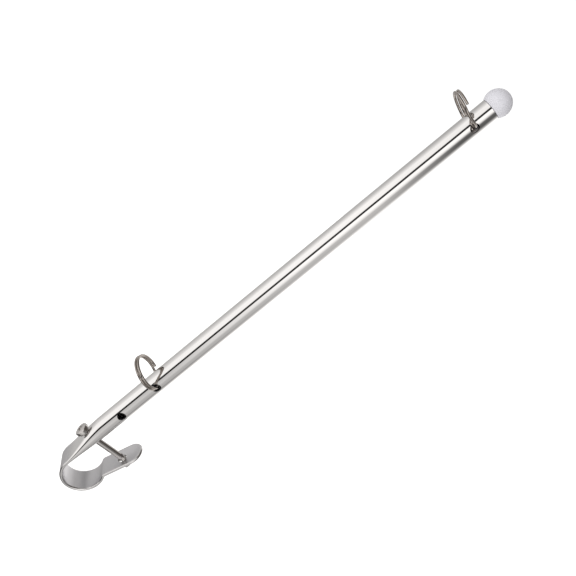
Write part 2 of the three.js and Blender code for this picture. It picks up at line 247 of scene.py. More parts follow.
class Finish:
    """A material's node tree, with short calls for the nodes that the finishes share."""

    def __init__(self, name):
        self.material = bpy.data.materials.new(name)
        self.material.use_nodes = True
        self.tree = self.material.node_tree
        self.shader = self.tree.nodes["Principled BSDF"]

    def node(self, kind, **settings):
        made = self.tree.nodes.new(kind)
        for title, value in settings.items():
            setattr(made, title, value)
        return made

    def link(self, source, target):
        self.tree.links.new(source, target)

    def grain(self, stretch, scale, detail=3.0):
        """Noise on object coordinates in metres, stretched per axis."""
        place = self.node("ShaderNodeTexCoord")
        turn = self.node("ShaderNodeMapping")
        turn.inputs["Scale"].default_value = stretch
        noise = self.node("ShaderNodeTexNoise")
        noise.inputs["Scale"].default_value = scale
        noise.inputs["Detail"].default_value = detail
        self.link(place.outputs["Object"], turn.inputs["Vector"])
        self.link(turn.outputs["Vector"], noise.inputs["Vector"])
        return noise.outputs["Fac"]

    def between(self, factor, low, high, source=(0.0, 1.0)):
        """A number that runs from low to high as the factor runs over its source range."""
        ranged = self.node("ShaderNodeMapRange")
        ranged.inputs["From Min"].default_value = source[0]
        ranged.inputs["From Max"].default_value = source[1]
        ranged.inputs["To Min"].default_value = low
        ranged.inputs["To Max"].default_value = high
        self.link(factor, ranged.inputs["Value"])
        return ranged.outputs["Result"]

    def blend(self, factor, first, second):
        """A colour between two: each is a colour or another node's output."""
        mix = self.node("ShaderNodeMix", data_type="RGBA")
        self.link(factor, mix.inputs["Factor"])
        for source, title in ((first, "A"), (second, "B")):
            socket = [s for s in mix.inputs if s.name == title and s.type == "RGBA"][0]
            if hasattr(source, "is_linked"):
                self.link(source, socket)
            else:
                socket.default_value = (*source, 1.0)
        return [s for s in mix.outputs if s.type == "RGBA"][0]

    def sum(self, first, second, operation="ADD"):
        """Two numbers added, or joined by another operation."""
        joined = self.node("ShaderNodeMath", operation=operation)
        self.link(first, joined.inputs[0])
        self.link(second, joined.inputs[1])
        return joined.outputs["Value"]

    def toward(self, factor, value, target):
        """A number moved from its value to the target by the factor."""
        mix = self.node("ShaderNodeMix", data_type="FLOAT")
        self.link(factor, mix.inputs["Factor"])
        first, second = [s for s in mix.inputs if s.type == "VALUE" and s.name in ("A", "B")]
        self.link(value, first)
        second.default_value = target
        return mix.outputs["Result"]

    def worn(self, most):
        """How worn the surface is: the piece's own edge value, broken up into patches."""
        edge = self.node("ShaderNodeAttribute", attribute_name="edge").outputs["Fac"]
        patches = self.between(self.grain((1.0, 1.0, 1.0), 900.0, 3.0), 0.2 * most, most, (0.4, 0.55))
        return self.sum(edge, patches, "MULTIPLY")

    def bump(self, height, distance, strength=1.0):
        """Raises the surface by a share of distance, in metres."""
        raised = self.node("ShaderNodeBump")
        raised.inputs["Distance"].default_value = distance
        raised.inputs["Strength"].default_value = strength
        self.link(height, raised.inputs["Height"])
        self.link(raised.outputs["Normal"], self.shader.inputs["Normal"])


def tube_finish():
    """Stainless tube, polished up its length and left satin where it was pressed and bent. The
    piece's own satin value says which; fine drawing lines run along it, smudges cloud it, and its
    edges are rubbed bright."""
    steel = Finish("polished and satin stainless")
    satin = steel.node("ShaderNodeAttribute", attribute_name="satin").outputs["Fac"]
    lines = steel.grain((1.0, 1.0, 0.03), 2600.0, 2.0)
    smudge = steel.grain((1.0, 1.0, 0.45), 90.0, 4.0)
    cloud = steel.grain((1.0, 0.4, 1.0), 420.0, 3.0)
    polish = steel.between(smudge, 0.035, 0.085)
    rough = steel.between(satin, 0.0, 0.26)
    worn = steel.worn(0.8)
    steel.link(steel.toward(worn, steel.sum(polish, rough), 0.12), steel.shader.inputs["Roughness"])
    bright = steel.blend(smudge, (0.93, 0.92, 0.91), (0.89, 0.88, 0.88))
    dull = steel.blend(cloud, (0.74, 0.735, 0.75), (0.67, 0.665, 0.685))
    colour = steel.blend(worn, steel.blend(satin, bright, dull), (0.95, 0.94, 0.93))
    steel.link(colour, steel.shader.inputs["Base Color"])
    steel.shader.inputs["Metallic"].default_value = 1.0
    steel.bump(lines, 0.000002, 0.35)
    return steel.material


def fastener_finish(name, light, dark, gloss):
    """Turned stainless with rings left by the tool round the screw's axis, rubbed bright on its
    edges. Gloss is the lowest roughness."""
    steel = Finish(name)
    rings = steel.grain((1.0, 0.05, 0.05), 2400.0, 2.0)
    smudge = steel.grain((1.0, 1.0, 1.0), 500.0, 3.0)
    worn = steel.worn(0.7)
    rough = steel.between(smudge, gloss, gloss + 0.10)
    steel.link(steel.toward(worn, rough, 0.09), steel.shader.inputs["Roughness"])
    colour = steel.blend(worn, steel.blend(rings, light, dark), (0.86, 0.84, 0.82))
    steel.link(colour, steel.shader.inputs["Base Color"])
    steel.shader.inputs["Metallic"].default_value = 1.0
    steel.bump(rings, 0.000001, 0.2)
    return steel.material


def wire_finish():
    """Hard-drawn spring wire: glossy, in a brown painted darker than the steel as painted shade for the dark
    room the rings reflect, with soft die marks and bright ends.
    """
    steel = Finish("spring wire")
    marks = steel.grain((1.0, 1.0, 1.0), 260.0, 2.0)
    worn = steel.worn(0.9)
    rough = steel.between(marks, 0.06, 0.12)
    steel.link(steel.toward(worn, rough, 0.15), steel.shader.inputs["Roughness"])
    # Both browns are painted shade: they darken the wire to stand in for the dark reflections the rings show.
    colour = steel.blend(worn, steel.blend(marks, (0.56, 0.51, 0.47), (0.42, 0.38, 0.35)), (0.82, 0.79, 0.76))
    steel.link(colour, steel.shader.inputs["Base Color"])
    steel.shader.inputs["Metallic"].default_value = 1.0
    steel.bump(marks, 0.000004, 0.06)
    return steel.material


def ball_finish():
    """Frosted moulded plastic, milky and a little blue, with faint flow bands, a fine matte skin and
    rims rubbed smooth."""
    plastic = Finish("frosted plastic")
    flow = plastic.grain((1.0, 1.0, 2.4), 110.0, 2.0)
    skin = plastic.grain((1.0, 1.0, 1.0), 1800.0, 2.0)
    worn = plastic.worn(0.8)
    milky = plastic.blend(flow, (0.665, 0.662, 0.705), (0.63, 0.627, 0.67))
    plastic.link(plastic.blend(worn, milky, (0.76, 0.757, 0.79)), plastic.shader.inputs["Base Color"])
    rough = plastic.between(skin, 0.42, 0.55)
    plastic.link(plastic.toward(worn, rough, 0.30), plastic.shader.inputs["Roughness"])
    plastic.bump(skin, 0.000001, 0.04)
    return plastic.material


TUBE_STEEL = tube_finish()
TURNED_STEEL = fastener_finish("turned stainless", (0.78, 0.755, 0.735), (0.68, 0.655, 0.64), 0.10)
# The nut's stainless is painted darker than the screw's. This is painted shade that stands in for the shadow
# in the gap round the screw.
SHADE_DARKENED_STEEL = fastener_finish("stainless darkened for painted shade", (0.48, 0.47, 0.46), (0.38, 0.37, 0.365), 0.28)
WIRE_STEEL = wire_finish()
FROSTED_PLASTIC = ball_finish()

# The pressed tube ----------------------------------------------------------------------------


def half_thickness(z):
    """Half the pressed tube's thickness: its full radius above the press, the strap's half
    thickness below it, and between them the mean of a straight wedge and a smooth step."""
    wedge = np.clip((PRESS_TOP_Z - z) / (PRESS_TOP_Z - PRESS_END_Z), 0, 1)
    return TUBE_R + (STRAP_HALF - TUBE_R) * (wedge + smooth(wedge)) / 2


def width_share(half):
    """How much of its own width the section keeps: all of it when round, less as it is flatter."""
    flat_width = STRAP_HALF + math.pi * (TUBE_R - STRAP_HALF) / 2
    return 1 + (STRAP_HALF_WIDTH / flat_width - 1) * (TUBE_R - half) / (TUBE_R - STRAP_HALF)


def section(angle, half, inset=0.0):
    """Across and out of the section at an angle round the tube. The section is two flats of length
    pi (radius - half) joined by half circles, walked so that arc length is the round tube's."""
    radius = TUBE_R - inset
    half = half - inset
    flat = math.pi * (radius - half) / 2
    along = radius * np.minimum(np.abs(angle), math.pi - np.abs(angle))
    bend = np.clip((along - flat) / half, 0, math.pi / 2)
    face = np.where(np.abs(angle) <= math.pi / 2, 1.0, -1.0)
    across = np.sign(angle) * (np.minimum(along, flat) + half * np.sin(bend))
    return across, face * half * np.cos(bend)


def section_angle(across, half, far_face, inset=0.0):
    """The angle round the tube of a point across the section, on its near or far face."""
    radius = TUBE_R - inset
    half = half - inset
    flat = math.pi * (radius - half) / 2
    reach = np.abs(across)
    bend = np.arcsin(np.clip((reach - flat) / half, 0, 1))
    quarter = (np.minimum(reach, flat) + half * bend) / radius
    return np.sign(across) * np.where(far_face, math.pi - quarter, quarter)


def open_round(across, along, block, radius):
    """Moves points of a flat grid out of a round hole's way. block is 1 on the square of the grid
    that becomes the hole's edge. On each ray from the centre, distances from the square's edge to
    REACH times it are stretched in proportion to run from the hole's radius to the same end."""
    distance = np.maximum(np.hypot(across, along), 1e-9)
    edge = distance / np.maximum(block, 1e-9)
    share = np.clip((block - 1) / (REACH - 1), 0, 1)
    wanted = radius + (edge * REACH - radius) * share
    moved = (block > 1 - 1e-6) & (block < REACH)
    scale = np.where(moved, wanted / distance, 1.0)
    return across * scale, along * scale


CROSS_BLOCK = TUBE_R * math.sin(CROSS_COLUMNS * COLUMN_STEP)
SCREW_BLOCK = TUBE_R * SCREW_COLUMNS * COLUMN_STEP
TONGUE_BLOCK = TUBE_R * TONGUE_COLUMNS * COLUMN_STEP
CROSS_HOLES = (UPPER_RING_Z, LOWER_RING_Z, SPARE_HOLE_Z)


def drill_across(angle, z, hole_z, inset):
    """Opens a hole drilled along Y through the round tube: on either side the grid is spread in the
    plane that faces the drill, and put back on the cylinder by the arc cosine of its offset."""
    radius = TUBE_R - inset
    turn = np.abs(np.cos(angle)) / math.sin(CROSS_COLUMNS * COLUMN_STEP)
    block = np.maximum(turn, np.abs(z - hole_z) / CROSS_BLOCK)
    across, along = open_round(-radius * np.cos(angle), z - hole_z, block, RING_HOLE_R)
    turned = np.sign(angle) * np.arccos(np.clip(-across / radius, -1, 1))
    near = block < REACH
    return np.where(near, turned, angle), np.where(near, hole_z + along, z)


def drill_through(angle, z, inset):
    """Opens the screw's hole, drilled along X through the pressed tube's two faces."""
    quarter = np.minimum(np.abs(angle), math.pi - np.abs(angle))
    half = half_thickness(z)
    block = np.maximum(quarter / (SCREW_COLUMNS * COLUMN_STEP), np.abs(z - SCREW_Z) / SCREW_BLOCK)
    flat_across = section(angle, half, inset)[0] * width_share(half)
    across, along = open_round(flat_across, z - SCREW_Z, block, SCREW_HOLE_R)
    half = half_thickness(SCREW_Z + along)
    turned = section_angle(across / width_share(half), half, np.abs(angle) > math.pi / 2, inset)
    near = block < REACH
    return np.where(near, turned, angle), np.where(near, SCREW_Z + along, z)


def tube_heights():
    """Heights of the rows down the straight tube. Each hole has rows at a tenth of its block's
    reach, so that two of them fall on the block's edges; between holes the rows are even."""
    runs = []
    start = TUBE_TOP
    stops = [(z, CROSS_BLOCK) for z in CROSS_HOLES] + [(SCREW_Z, SCREW_BLOCK)]
    for hole_z, block in stops:
        top = hole_z + REACH * block
        spacing = 5.0 if start - top > 100 else 0.8
        runs.append(np.linspace(start, top, 1 + round((start - top) / spacing), endpoint=False))
        runs.append(hole_z + block * np.linspace(REACH, -REACH, 20, endpoint=False))
        start = hole_z - REACH * block
    runs.append(np.linspace(start, 0, 36))
    return np.concatenate(runs)


def column_angles():
    """Angles of the columns round the tube, from 0 on its outer face, positive towards -Y."""
    turn = np.arange(COLUMNS) * COLUMN_STEP
    return np.where(turn > math.pi, turn - 2 * math.pi, turn)


def tube_skin(heights, inset):
    """The straight tube's outer skin, or its bore at an inset: x and z follow the section out of
    the outer face, which looks towards -X, and y follows it across."""
    z, angle = np.meshgrid(heights, column_angles(), indexing="ij")
    for hole_z in CROSS_HOLES:
        angle, z = drill_across(angle, z, hole_z, inset)
    angle, z = drill_through(angle, z, inset)
    half = half_thickness(z)
    across, out = section(angle, half, inset)
    return np.stack([TUBE_X - out, -across * width_share(half), z], -1)


def strap_section():
    """Across and out of the finished strap at every column."""
    across, out = section(column_angles(), STRAP_HALF)
    return across * STRAP_HALF_WIDTH / np.abs(across).max(), out


def curve_skin(centre, radius, facings, out_sign):
    """The strap bent round an arc of the clamp: each row is the strap's section, set out from the
    arc's centre along the row's facing."""
    across, out = strap_section()
    facing, y = np.meshgrid(facings, -across, indexing="ij")
    reach = radius * out_sign + out
    return np.stack([centre[0] + reach * np.cos(facing), y, centre[1] + reach * np.sin(facing)], -1)


def tongue_point(along, across, out, radial):
    """A point of the tongue: along it from the rail's centre, across it, and out of its back. The
    dish adds its depth times the square of one less the square of the share of the half width."""
    depth = DISH_DEPTH * smooth((along - DISH_START) / (DISH_DEEPEST - DISH_START))
    bowl = (1 - np.minimum(radial / STRAP_HALF_WIDTH, 1) ** 2) ** 2
    lift = TONGUE_OFFSET + out + depth * bowl
    x = lift * math.cos(LEAN) + along * math.sin(LEAN)
    z = along * math.cos(LEAN) - lift * math.sin(LEAN)
    return np.stack([x, -across, z], -1)


BEND_ANGLE = math.acos((TONGUE_OFFSET + TONGUE_BEND_R) / (LOOP_R + TONGUE_BEND_R)) - LEAN
TONGUE_START = (LOOP_R + TONGUE_BEND_R) * math.sin(BEND_ANGLE + LEAN)
TIP_START = TONGUE_TIP - STRAP_HALF_WIDTH
HOLE_ALONG = (
    SCREW_Z - TONGUE_HOLE_DROP + (TONGUE_OFFSET + DISH_DEPTH) * math.sin(LEAN)
) / math.cos(LEAN)


def tongue_rows():
    """Distances along the straight tongue, with rows on the edges of the screw hole's block."""
    reach = REACH * TONGUE_BLOCK
    return np.concatenate([
        np.linspace(TONGUE_START, HOLE_ALONG - reach, 16, endpoint=False)[1:],
        HOLE_ALONG + TONGUE_BLOCK * np.linspace(-REACH, REACH, 20, endpoint=False),
        np.linspace(HOLE_ALONG + reach, TIP_START, 3),
    ])


def tongue_skin():
    """The straight tongue with its hole. The hole is drilled level through the leaning strap, so on
    each face it is longer along the tongue and its centre is shifted by the lean."""
    across, out = strap_section()
    along, across = np.meshgrid(tongue_rows(), across, indexing="ij")
    out = np.broadcast_to(out, along.shape)
    angle = np.broadcast_to(column_angles(), along.shape)
    quarter = np.minimum(np.abs(angle), math.pi - np.abs(angle))
    offset = along - HOLE_ALONG
    block = np.maximum(quarter / (TONGUE_COLUMNS * COLUMN_STEP), np.abs(offset) / TONGUE_BLOCK)
    wide, high = open_round(across, offset, block, TONGUE_HOLE_R)
    fade = 1 - np.clip((block - 1) / (REACH - 1), 0, 1)
    level = out * math.tan(LEAN) * fade
    stretched = high * (1 + (1 / math.cos(LEAN) - 1) * fade)
    return tongue_point(HOLE_ALONG + stretched + level, wide, out, np.abs(wide))


def tip_skin():
    """The tongue's round end: each half of the strap's section turned a quarter round the middle of
    the end, so that the two halves meet and the edge keeps its fold all the way."""
    across, out = strap_section()
    turns = np.linspace(0, math.pi / 2, 22)[1:, None]
    radial = np.abs(across)[None, :]
    along = TIP_START + radial * np.sin(turns)
    sideways = across[None, :] * np.cos(turns)
    return tongue_point(along, sideways, np.broadcast_to(out, along.shape), radial)


def block_loop(rows, columns):
    """Grid numbers round the edge of a block of rows and columns, in order."""
    row = np.concatenate([
        np.full(len(columns) - 1, rows[0]), rows[:-1],
        np.full(len(columns) - 1, rows[-1]), rows[:0:-1],
    ])
    column = np.concatenate([
        columns[:-1], np.full(len(rows) - 1, columns[-1]),
        columns[:0:-1], np.full(len(rows) - 1, columns[0]),
    ])
    return row * COLUMNS + column % COLUMNS


def rows_near(places, centre, block):
    """Numbers of the rows that lie in a hole's block."""
    return np.flatnonzero(np.abs(places - centre) < block * (1 + 1e-6))


def without_block(keep, rows, columns):
    """Takes a hole's quads out of the grid's mask of kept quads."""
    keep[rows[0]:rows[-1], np.arange(columns[0], columns[-1]) % COLUMNS] = False


SATIN_TOP_Z = 11.0  # polish fades out below this height, over SATIN_FADE
SATIN_FADE = 13.0
FOLD_START = 7.4  # across the strap, where its folds are polished again, over FOLD_FADE
FOLD_FADE = 1.2
FOLD_POLISH = 0.75


def satin_values(outer, inner_rows):
    """0 where the outside is polished and 1 where it is satin: polished down the tube, satin from
    the press to the tip, with the strap's folds part polished again."""
    across = strap_section()[0]
    fold = smooth((np.abs(across) - FOLD_START) / FOLD_FADE)
    pressed = smooth((SATIN_TOP_Z - outer[..., 2]) / SATIN_FADE)
    pressed = np.where(outer[..., 0] > 0, 1.0, pressed)
    return np.concatenate([pressed * (1 - FOLD_POLISH * fold[None, :]), np.ones((inner_rows, COLUMNS))])


def make_bent_tube():
    """The tube, loop and tongue as one closed skin, as they are one length of tube: outer rows run
    from the tube's end to the tongue's tip, inner rows line the bore, and strips line the holes."""
    heights = tube_heights()
    bend_centre = (LOOP_R + TONGUE_BEND_R) * np.array([math.cos(BEND_ANGLE), math.sin(BEND_ANGLE)])
    loop_turns = np.linspace(math.pi, 2 * math.pi + BEND_ANGLE, 86)[1:]
    bend_turns = np.linspace(BEND_ANGLE, -LEAN, 13)[1:]
    outer = np.concatenate([
        tube_skin(heights, 0.0),
        curve_skin((0.0, 0.0), LOOP_R, loop_turns, 1.0),
        curve_skin(bend_centre, TONGUE_BEND_R, bend_turns, -1.0),
        tongue_skin(),
        tip_skin(),
    ])
    bore = tube_skin(heights[heights > BORE_END_Z], TUBE_WALL)
    bore[-1, :, 0] = TUBE_X
    first_inner = outer.shape[0] * COLUMNS
    outer_faces = grid_faces(outer.shape[0], COLUMNS)
    bore_faces = grid_faces(bore.shape[0], COLUMNS) + first_inner
    keep_outer = np.ones(outer_faces.shape[:2], bool)
    keep_bore = np.ones(bore_faces.shape[:2], bool)
    strips = [strip_faces(np.arange(COLUMNS), first_inner + np.arange(COLUMNS))]

    quarter_turn = COLUMNS // 4
    holes = [(z, CROSS_BLOCK, CROSS_COLUMNS, side) for z in CROSS_HOLES for side in (1, 3)]
    holes += [(SCREW_Z, SCREW_BLOCK, SCREW_COLUMNS, side) for side in (0, 2)]
    for hole_z, block, half_columns, side in holes:
        rows = rows_near(heights, hole_z, block)
        columns = side * quarter_turn + np.arange(-half_columns, half_columns + 1)
        without_block(keep_outer, rows, columns)
        without_block(keep_bore, rows, columns)
        loop = block_loop(rows, columns)
        strips.append(strip_faces(loop, first_inner + loop))

    first_tongue = len(heights) + len(loop_turns) + len(bend_turns)
    rows = first_tongue + rows_near(tongue_rows(), HOLE_ALONG, TONGUE_BLOCK)
    columns = np.arange(-TONGUE_COLUMNS, TONGUE_COLUMNS + 1)
    without_block(keep_outer, rows, columns)
    without_block(keep_outer, rows, COLUMNS // 2 + columns)
    strips.append(strip_faces(block_loop(rows, columns), block_loop(rows, COLUMNS // 2 - columns)))

    points = np.concatenate([outer.reshape(-1, 3), bore.reshape(-1, 3)])
    faces = np.concatenate([outer_faces[keep_outer], bore_faces[keep_bore], *strips])
    satin = satin_values(outer, bore.shape[0])
    piece = make_piece("bent_tube", points, faces, TUBE_STEEL, values={"satin": satin})
    soften(piece, 0.12)
    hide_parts("pole_tube", "clamp_tongue")
    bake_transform(piece)


make_bent_tube()

# Fasteners -----------------------------------------------------------------------------------

TURNS = 144  # steps round a turned piece
turned = np.arange(TURNS) * 2 * math.pi / TURNS


def turned_skin(x, radius):
    """A surface round the screw's axis: radius and place along X for every row and turn."""
    y = radius * np.cos(turned)
    z = SCREW_Z + radius * np.sin(turned)
    return np.stack([np.broadcast_to(x, y.shape), y, z], -1)


def cross_outline(span, slot):
    """Radius of a cross-shaped recess round the axis: in each quarter it is the nearer of the arm's
    end and the arm's side."""
    quarter = (turned + math.pi / 4) % (math.pi / 2) - math.pi / 4
    side = slot / np.maximum(np.abs(np.sin(quarter)), 1e-6)
    return np.minimum(span / np.cos(quarter), side)


def head_rows():
    """The pan head from the middle of its recess to its underside: a tapered cross-shaped recess, a
    low dome whose height falls with the square of the radius, a round edge, a flat underside."""
    crown = 0.45
    edge_r = 0.75
    front = screw_low[0]
    rows = []
    depth = 1.5
    mouth = cross_outline(2.3, 0.52)
    floor = cross_outline(1.5, 0.30)
    for share in (0.0, 0.5, 1.0):
        rows.append((np.full(TURNS, front + depth), floor * share))
    for share in (0.35, 0.7, 1.0):
        place = front + depth * (1 - share)
        rows.append((np.full(TURNS, place), floor + (mouth - floor) * share))
    flat_r = HEAD_R - edge_r
    for share in np.linspace(0.08, 1, 9):
        radius = mouth + (flat_r - mouth) * share
        rows.append((front + crown * (radius / flat_r) ** 2 * share, radius))
    for turn in np.linspace(0, math.pi / 2, 7)[1:]:
        place = front + crown + edge_r * (1 - math.cos(turn))
        rows.append((np.full(TURNS, place), np.full(TURNS, flat_r + edge_r * math.sin(turn))))
    underside = front + HEAD_HEIGHT
    for radius in (HEAD_R, HEAD_R - 0.05, SHANK_R + 0.3, SHANK_R):
        rows.append((np.full(TURNS, underside), np.full(TURNS, radius)))
    return rows


def thread_rows(start, end):
    """A V thread as a function of turn and place: the radius falls from the crest by the thread's
    depth times the distance, in pitches, from the nearest crest, and fades in over two pitches."""
    rows = []
    for place in np.linspace(start, end, 110):
        phase = (place / THREAD_PITCH - turned / (2 * math.pi)) % 1
        valley = 1 - np.abs(2 * phase - 1)
        grown = smooth((place - start) / (2 * THREAD_PITCH))
        point = 0.7 * smooth((place - end + 0.8) / 0.8)
        rows.append((np.full(TURNS, place), SHANK_R - THREAD_DEPTH * grown * valley - point * 0.8))
    return rows


def make_screw():
    """The clamp screw: pan head with a cross recess, plain shank, and a thread on its far end."""
    end = screw_high[0]
    thread_start = end - THREAD_LENGTH
    rows = head_rows()
    for place in np.linspace(screw_low[0] + HEAD_HEIGHT + 0.2, thread_start, 24, endpoint=False):
        rows.append((np.full(TURNS, place), np.full(TURNS, SHANK_R)))
    rows += thread_rows(thread_start, end)
    rows.append((np.full(TURNS, end), np.zeros(TURNS)))
    points = np.stack([turned_skin(place, radius) for place, radius in rows])
    faces = grid_faces(len(rows), TURNS)
    piece = make_piece("clamp_screw_turned", points, faces, TURNED_STEEL, crisp=50, wear=(8, 26))
    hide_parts("clamp_screw")
    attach(piece, "screw")


def make_washer():
    """A spring washer: a flat ring of square wire, cut through on a slant on its lower side. Its
    corners are rounded, and the wire's section is carried round from one side of the cut to the
    other, each end lying on the slant because its angle grows with its place along X."""
    inner = SCREW_HOLE_R
    outer = (washer_high[1] - washer_low[1]) / 2
    near, far = washer_low[0], washer_high[0]
    half_cut = 0.4 / outer
    slant = math.tan(math.radians(35)) / outer
    middle_r, half_wide = (inner + outer) / 2, (outer - inner) / 2
    middle_x, half_thick = (near + far) / 2, (far - near) / 2
    round_section = np.arange(24) * 2 * math.pi / 24 + math.pi / 24
    square = np.minimum(1 / np.maximum(np.abs(np.cos(round_section)), np.abs(np.sin(round_section))), 1.25)
    place = middle_x + half_thick * np.clip(square * np.sin(round_section), -1, 1)
    radius = middle_r + half_wide * np.clip(square * np.cos(round_section), -1, 1)
    turn, place = np.meshgrid(np.linspace(0, 1, 97), place, indexing="ij")
    radius = np.broadcast_to(radius, turn.shape)
    lean = (place - middle_x) * slant
    angle = -math.pi / 2 + lean + half_cut + turn * (2 * math.pi - 2 * half_cut)
    skin = np.stack([place, radius * np.cos(angle), SCREW_Z + radius * np.sin(angle)], -1)
    ends = [np.broadcast_to(skin[row].mean(0), skin[row].shape)[None] for row in (0, -1)]
    skin = np.concatenate([ends[0], skin, ends[1]])
    faces = grid_faces(len(skin), 24)
    piece = make_piece("spring_washer_cut", skin, faces, TURNED_STEEL, crisp=30)
    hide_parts("spring_washer")
    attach(piece, "screw")


def make_nut():
    """A thin hexagon nut. Round the axis its side is the apothem over the cosine of the angle from
    the nearest flat; at each face it is cut back by a cone, which leaves the usual arcs."""
    near, far = nut_low[0], nut_high[0]
    flats = (nut_high[1] - nut_low[1]) / 2
    from_flat = (turned + math.pi / 6) % (math.pi / 3) - math.pi / 6
    hexagon = flats / np.cos(from_flat)
    cone_r = flats * 0.97
    slope = math.tan(math.radians(30))
    bore = SHANK_R + 0.15
    chamfer = (np.maximum(hexagon, cone_r) - cone_r) * slope

    def ring(place, radius):
        """One row of the nut's skin, where place or radius may be a single number."""
        return np.broadcast_to(place, (TURNS,)), np.broadcast_to(radius, (TURNS,))

    rows = [ring(far, bore + 0.3), ring(far - 0.3, bore)]
    for place in np.linspace(far - 0.3, near + 0.3, 30)[1:-1]:
        phase = (place / THREAD_PITCH - turned / (2 * math.pi)) % 1
        rows.append(ring(place, bore + 0.12 * (1 - np.abs(2 * phase - 1))))
    rows += [ring(near + 0.3, bore), ring(near, bore + 0.3)]
    for face, inward in ((near, 1), (far, -1)):
        face_rows = [ring(face, (bore + 0.3) * 0.5 + cone_r * 0.5), ring(face, cone_r)]
        face_rows += [
            ring(face + inward * chamfer * share, cone_r + (hexagon - cone_r) * share)
            for share in (0.5, 1.0)
        ]
        rows += face_rows if inward > 0 else face_rows[::-1]
    points = np.stack([turned_skin(place, radius) for place, radius in rows])
    seam = np.arange(TURNS)
    last = (len(rows) - 1) * TURNS
    faces = np.concatenate([
        grid_faces(len(rows), TURNS).reshape(-1, 4),
        strip_faces(last + seam, seam),
    ])
    # The nut gets the darkened steel, as painted shade for the shadow in the hole round the screw.
    piece = make_piece("clamp_nut_hexagon", points, faces, SHADE_DARKENED_STEEL, crisp=28)
    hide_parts("clamp_nut")
    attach(piece, "nut")


make_screw()
make_washer()
make_nut()

# Split rings ---------------------------------------------------------------------------------


def turn_about(axis, degrees):
    """A rotation matrix about one of the three axes."""
    return np.array(Quaternion(axis, math.radians(degrees)).to_matrix())


def ring_line(step_at, hand):
    """The wire's middle line: two turns side by side, with one smooth step across between them, cut
    open on either side of the step. The hand, 1 or -1, is the way the wire was wound. Also its
    direction, by differences."""
    rows = 420
    turn = np.linspace(RING_OPEN, 4 * math.pi - RING_OPEN, rows)
    step = smooth((turn - 2 * math.pi + RING_STEP) / (2 * RING_STEP))
    angle = math.radians(step_at) + turn
    across = hand * RING_PITCH * (step - 0.5)
    line = np.stack([RING_R * np.cos(angle), RING_R * np.sin(angle), across], -1)
    outward = np.stack([np.cos(angle), np.sin(angle), np.zeros(rows)], -1)
    direction = np.gradient(line, axis=0)
    return line, outward, direction / np.linalg.norm(direction, axis=1, keepdims=True)


def make_ring(name, node, body, hole_z, winding, turns, shift):
    """A split ring hung in its cross hole: a round wire carried along the ring's line, its ends
    drawn in by a quarter circle. Its middle is set off the tube so that both holes are on the line,
    then it is rolled, leaned and swung as a whole."""
    line, outward, direction = ring_line(*winding)
    lift = np.cross(direction, outward)
    spacing = np.linalg.norm(np.diff(line, axis=0), axis=1).mean()
    from_end = np.minimum(np.arange(len(line)), np.arange(len(line))[::-1]) * spacing
    closing = np.clip(1 - from_end / 0.35, 0, 1)
    radius = RING_WIRE_R * (0.45 * np.sqrt(1 - closing ** 2) + 0.55)
    round_wire = np.arange(28) * 2 * math.pi / 28
    wire = (
        outward[:, None] * np.cos(round_wire)[None, :, None]
        + lift[:, None] * np.sin(round_wire)[None, :, None]
    )
    skin = line[:, None] + wire * radius[:, None, None]
    ends = np.stack([np.repeat(line[:1], 28, 0), np.repeat(line[-1:], 28, 0)])
    skin = np.concatenate([ends[:1], skin, ends[1:]])
    wall_middle = TUBE_R - TUBE_WALL / 2
    skin = skin - np.array([math.sqrt(RING_R ** 2 - wall_middle ** 2), 0, 0])
    swing, lean, roll = turns
    pose = turn_about((0, 1, 0), swing) @ turn_about((0, 0, 1), -lean) @ turn_about((1, 0, 0), roll)
    drawn, lifted = shift
    skin = skin @ pose.T + np.array([TUBE_X - drawn, 0, hole_z + lifted])
    piece = make_piece(name, skin, grid_faces(len(skin), 28), WIRE_STEEL, crisp=60)
    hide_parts(node)
    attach(piece, body)


make_ring(
    "lower_ring_wire", "lower_split_ring", "lower_ring",
    LOWER_RING_Z, (13, -1), (9, -1, 7.5), (0, 0.3),
)
make_ring(
    "upper_ring_wire", "upper_split_ring", "upper_ring",
    UPPER_RING_Z, (285, 1), (12, -1, 3.5), (0.4, 0.05),
)

# Ball cap ------------------------------------------------------------------------------------


def make_ball():
    """The moulded ball: a circle from the seat to the pole with a shallow collar groove above the
    seat, a faint witness line round the middle, and a hollow plug that enters the tube's bore."""
    seat_z = TUBE_TOP + 0.3
    plug_end = ball_low[2]
    drop = math.asin((BALL_Z - seat_z) / BALL_R)
    turns = np.linspace(-drop, math.pi / 2, 90)
    height = BALL_Z + BALL_R * np.sin(turns)
    witness = 0.035 * np.exp(-((height - BALL_Z - 0.6) / 0.16) ** 2)
    collar = 0.09 * np.exp(-((height - seat_z - 1.3) / 0.28) ** 2)
    ball = np.stack([(BALL_R + witness - collar) * np.cos(turns), height], -1)
    plug = np.array([
        (0.0, seat_z), (PLUG_CORE_R, seat_z), (PLUG_CORE_R, seat_z - 4), (PLUG_CORE_R, plug_end),
        (PLUG_R - 0.4, plug_end), (PLUG_R, plug_end + 0.8), (PLUG_R, seat_z - 0.4),
        (PLUG_R + 0.3, seat_z),
    ])
    profile = np.concatenate([plug, ball])
    around = np.arange(96) * 2 * math.pi / 96
    points = np.stack([
        TUBE_X + profile[:, :1] * np.cos(around),
        profile[:, :1] * np.sin(around),
        np.broadcast_to(profile[:, 1:], (len(profile), 96)),
    ], -1)
    piece = make_piece("frosted_ball", points, grid_faces(len(profile), 96), FROSTED_PLASTIC)
    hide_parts("ball_cap")
    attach(piece, "pole")


make_ball()

# Studio --------------------------------------------------------------------------------------

FLOOR_Z = -0.32


